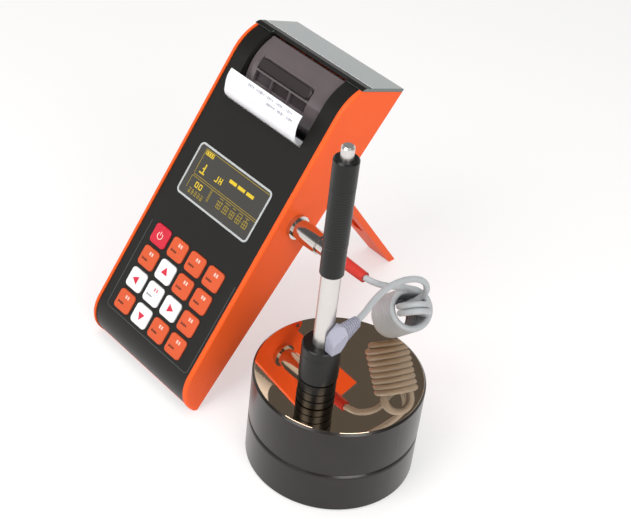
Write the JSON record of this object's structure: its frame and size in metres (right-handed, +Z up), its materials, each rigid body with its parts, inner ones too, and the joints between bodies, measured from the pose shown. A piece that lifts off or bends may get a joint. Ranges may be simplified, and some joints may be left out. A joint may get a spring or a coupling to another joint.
{
  "type": "hardness tester",
  "caption": "Portable rebound hardness tester with keypad, display, built-in printer and folding stand, wired to a spring-driven impact probe standing on a round steel test block.",
  "frame": {"origin": "centre of the test block's underside, on the bench", "axes": "+Z up; +X to the tester's right and +Y away from its front, so the tester's face looks towards -Y"},
  "size_m": [0.1955, 0.1944, 0.2065],
  "materials": {
    "orange_shell": "fine moulded texture",
    "dark_shell": "satin moulded",
    "gloss_panel": "polished",
    "pale_line": "printed satin",
    "window": "clear hard coat",
    "display_glass": "polished",
    "board": "solder mask",
    "mat": "moulded",
    "battery": "shrink film",
    "screw_steel": "plated",
    "head_metal": "machined",
    "smoked_cover": "smoked polished",
    "latch_plastic": "satin",
    "pin_steel": "drawn",
    "platen_rubber": "ground",
    "paper": "coated",
    "chrome": "polished",
    "red_boot": "moulded",
    "cord": "extruded",
    "plug_plastic": "moulded",
    "black_metal": "black anodised",
    "spring_steel": "drawn",
    "bright_tube": "satin chrome",
    "coil_copper": "enamelled wire",
    "block_steel": "ground top, black oxide side",
    "red_key": "silicone",
    "white_key": "silicone",
    "orange_key": "silicone"
  },
  "bodies": {
    "tester": {"rear_shell": "orange_shell", "front_shell": "dark_shell", "top_panel": "gloss_panel", "display_line": "pale_line", "display_window": "window", "display_module": "display_glass", "main_board": "board", "keypad_mat": "mat", "battery_pack": "battery", "battery_door": "orange_shell", "case_screws": "screw_steel", "printer_frame": "dark_shell", "thermal_head": "head_metal", "cover_pin": "pin_steel", "tear_bar": "pin_steel", "stand_pin": "pin_steel", "probe_socket": "chrome", "probe_connector": "chrome", "cable_boot": "red_boot", "cord_from_tester": "cord", "cord_coil": "cord", "cord_from_probe": "cord", "probe_plug": "plug_plastic", "plug_relief": "plug_plastic", "loading_spring": "spring_steel", "guide_tube": "bright_tube", "coil_housing": "black_metal", "pickup_coil": "coil_copper", "support_ring": "black_metal", "catch_chuck": "spring_steel", "impact_spring": "spring_steel", "test_block": "block_steel"},
    "stand": {"stand_leg": "orange_shell"},
    "cover": {"printer_cover": "smoked_cover", "paper_slip": "paper"},
    "latch": {"cover_latch": "latch_plastic"},
    "platen": {"platen_roller": "platen_rubber"},
    "roll": {"paper_roll": "paper"},
    "sleeve": {"loading_sleeve": "black_metal"},
    "button": {"release_button": "bright_tube"},
    "impact": {"impact_body": "bright_tube"},
    "key_setup": {"key_setup": "orange_key"},
    "key_down": {"key_down": "white_key"},
    "key_print": {"key_print": "orange_key"},
    "key_clear": {"key_clear": "orange_key"},
    "key_left": {"key_left": "white_key"},
    "key_enter": {"key_enter": "white_key"},
    "key_right": {"key_right": "white_key"},
    "key_average": {"key_average": "orange_key"},
    "key_material": {"key_material": "orange_key"},
    "key_up": {"key_up": "white_key"},
    "key_scale": {"key_scale": "orange_key"},
    "key_store": {"key_store": "orange_key"},
    "key_power": {"key_power": "red_key"},
    "key_direction": {"key_direction": "orange_key"},
    "key_device": {"key_device": "orange_key"},
    "key_light": {"key_light": "orange_key"}
  },
  "joints": [
    {"name": "stand_fold", "type": "hinge", "parent": "tester", "child": "stand", "pos_m": [-0.1075, 0.05673, 0.11432], "axis": [-1, 0, 0], "range_deg": [0, 75.8]},
    {"name": "cover_open", "type": "hinge", "parent": "tester", "child": "cover", "pos_m": [-0.1075, 0.06072, 0.16593], "axis": [-1, 0, 0], "range_deg": [0, 85]},
    {"name": "roll_spin", "type": "hinge", "parent": "tester", "child": "roll", "pos_m": [-0.1075, 0.06111, 0.15006], "axis": [1, 0, 0], "continuous": true},
    {"name": "platen_spin", "type": "hinge", "parent": "cover", "child": "platen", "pos_m": [-0.1075, 0.04723, 0.13587], "axis": [1, 0, 0], "continuous": true},
    {"name": "latch_slide", "type": "slide", "parent": "cover", "child": "latch", "axis": [0, 0.5534, 0.8329], "range_m": [0, 0.0015], "stiffness_N_per_m": 300, "springref_m": -0.001},
    {"name": "sleeve_load", "type": "slide", "parent": "tester", "child": "sleeve", "axis": [0, 0, -1], "range_m": [0, 0.028], "stiffness_N_per_m": 400, "springref_m": -0.002, "deforming": ["loading_spring"]},
    {"name": "button_press", "type": "slide", "parent": "sleeve", "child": "button", "axis": [0, 0, -1], "range_m": [0, 0.003], "stiffness_N_per_m": 300, "springref_m": -0.001},
    {"name": "impact_rise", "type": "slide", "parent": "tester", "child": "impact", "axis": [0, 0, 1], "range_m": [0, 0.03]},
    {"name": "key_setup_press", "type": "slide", "parent": "tester", "child": "key_setup", "axis": [0, 0.8329, -0.5534], "range_m": [0, 0.0009], "stiffness_N_per_m": 400, "springref_m": -0.001},
    {"name": "key_down_press", "type": "slide", "parent": "tester", "child": "key_down", "axis": [0, 0.8329, -0.5534], "range_m": [0, 0.0009], "stiffness_N_per_m": 400, "springref_m": -0.001},
    {"name": "key_print_press", "type": "slide", "parent": "tester", "child": "key_print", "axis": [0, 0.8329, -0.5534], "range_m": [0, 0.0009], "stiffness_N_per_m": 400, "springref_m": -0.001},
    {"name": "key_clear_press", "type": "slide", "parent": "tester", "child": "key_clear", "axis": [0, 0.8329, -0.5534], "range_m": [0, 0.0009], "stiffness_N_per_m": 400, "springref_m": -0.001},
    {"name": "key_left_press", "type": "slide", "parent": "tester", "child": "key_left", "axis": [0, 0.8329, -0.5534], "range_m": [0, 0.0009], "stiffness_N_per_m": 400, "springref_m": -0.001},
    {"name": "key_enter_press", "type": "slide", "parent": "tester", "child": "key_enter", "axis": [0, 0.8329, -0.5534], "range_m": [0, 0.0009], "stiffness_N_per_m": 400, "springref_m": -0.001},
    {"name": "key_right_press", "type": "slide", "parent": "tester", "child": "key_right", "axis": [0, 0.8329, -0.5534], "range_m": [0, 0.0009], "stiffness_N_per_m": 400, "springref_m": -0.001},
    {"name": "key_average_press", "type": "slide", "parent": "tester", "child": "key_average", "axis": [0, 0.8329, -0.5534], "range_m": [0, 0.0009], "stiffness_N_per_m": 400, "springref_m": -0.001},
    {"name": "key_material_press", "type": "slide", "parent": "tester", "child": "key_material", "axis": [0, 0.8329, -0.5534], "range_m": [0, 0.0009], "stiffness_N_per_m": 400, "springref_m": -0.001},
    {"name": "key_up_press", "type": "slide", "parent": "tester", "child": "key_up", "axis": [0, 0.8329, -0.5534], "range_m": [0, 0.0009], "stiffness_N_per_m": 400, "springref_m": -0.001},
    {"name": "key_scale_press", "type": "slide", "parent": "tester", "child": "key_scale", "axis": [0, 0.8329, -0.5534], "range_m": [0, 0.0009], "stiffness_N_per_m": 400, "springref_m": -0.001},
    {"name": "key_store_press", "type": "slide", "parent": "tester", "child": "key_store", "axis": [0, 0.8329, -0.5534], "range_m": [0, 0.0009], "stiffness_N_per_m": 400, "springref_m": -0.001},
    {"name": "key_power_press", "type": "slide", "parent": "tester", "child": "key_power", "axis": [0, 0.8329, -0.5534], "range_m": [0, 0.0009], "stiffness_N_per_m": 400, "springref_m": -0.001},
    {"name": "key_direction_press", "type": "slide", "parent": "tester", "child": "key_direction", "axis": [0, 0.8329, -0.5534], "range_m": [0, 0.0009], "stiffness_N_per_m": 400, "springref_m": -0.001},
    {"name": "key_device_press", "type": "slide", "parent": "tester", "child": "key_device", "axis": [0, 0.8329, -0.5534], "range_m": [0, 0.0009], "stiffness_N_per_m": 400, "springref_m": -0.001},
    {"name": "key_light_press", "type": "slide", "parent": "tester", "child": "key_light", "axis": [0, 0.8329, -0.5534], "range_m": [0, 0.0009], "stiffness_N_per_m": 400, "springref_m": -0.001}
  ],
  "couplings": [
    {"joint": "platen_spin", "follows": "roll_spin", "ratio": 2.8947}
  ]
}
